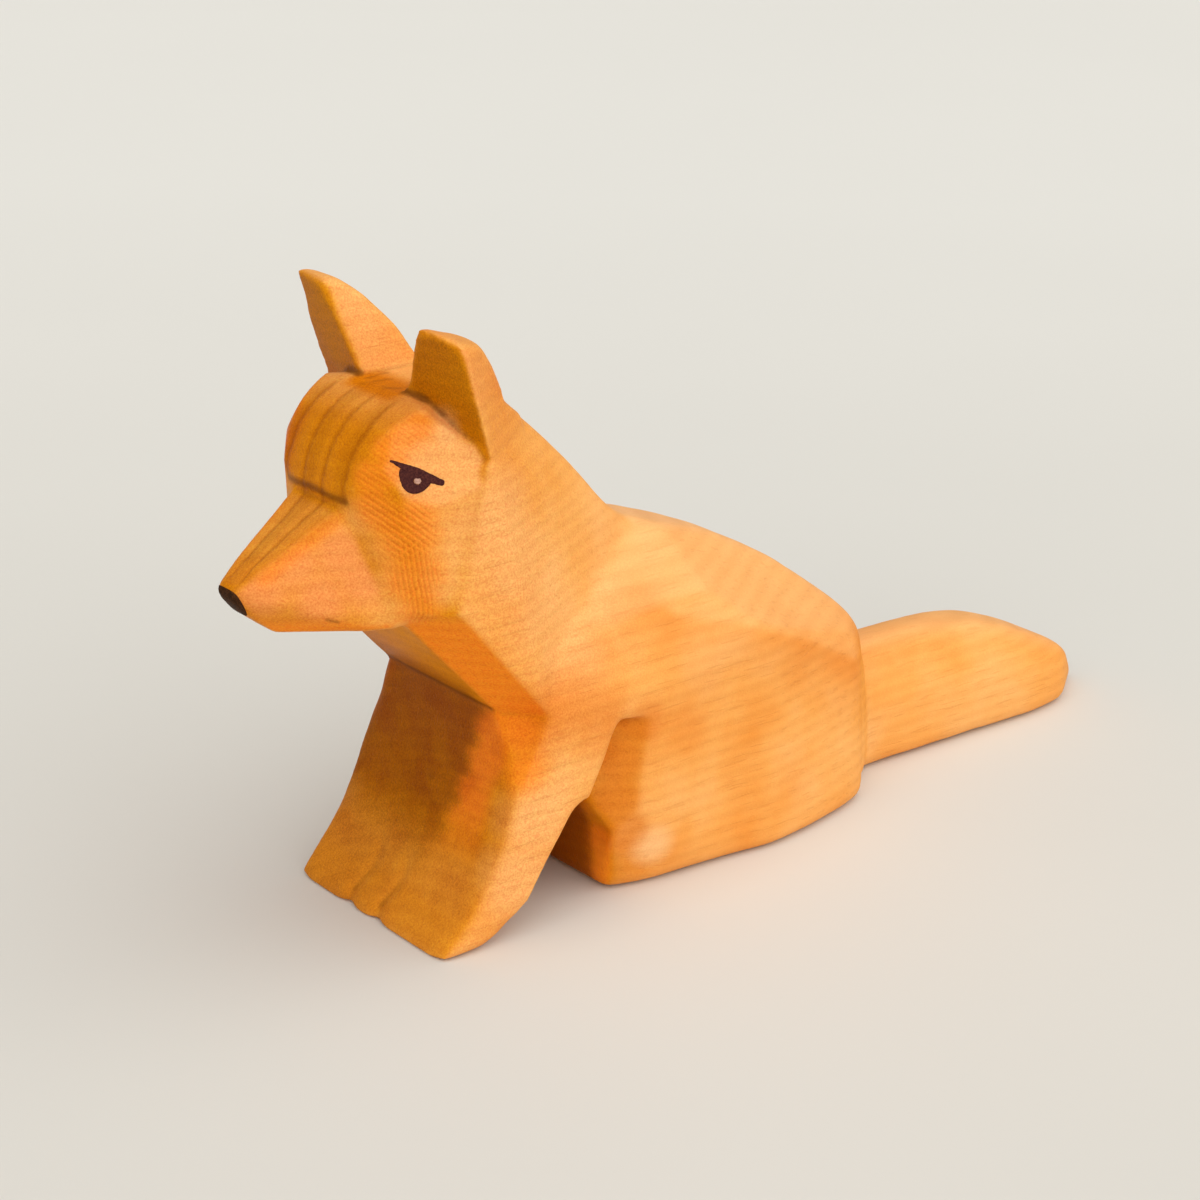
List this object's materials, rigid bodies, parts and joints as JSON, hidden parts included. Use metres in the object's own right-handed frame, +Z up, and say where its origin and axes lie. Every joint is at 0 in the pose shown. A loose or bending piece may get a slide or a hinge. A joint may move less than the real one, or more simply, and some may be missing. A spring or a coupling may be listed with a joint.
{
  "type": "wooden dog figure",
  "caption": "Hand-carved wooden dog sitting on its haunches, propped on straight forelegs, tail flat behind, with painted eyes and nose; stands free as a toy or shelf ornament.",
  "frame": {"origin": "on the floor, under the middle of the figure's length and width", "axes": "+Z up, -X the way the dog looks, +Y its right side"},
  "size_m": [0.1278, 0.029, 0.0704],
  "materials": {
    "waxed_wood": "stained and waxed, satin",
    "nose_paint": "thin brushed paint film, satin",
    "eye_paint": "thin brushed paint film, satin",
    "lid_paint": "thin brushed paint line, satin",
    "glint_paint": "small dab of pale paint, satin"
  },
  "bodies": {
    "root": {"carved_body": "waxed_wood", "nose_paint": "nose_paint", "left_iris_paint": "eye_paint", "right_iris_paint": "eye_paint", "left_lid_line": "lid_paint", "right_lid_line": "lid_paint", "left_eye_glint": "glint_paint", "right_eye_glint": "glint_paint"}
  },
  "joints": []
}
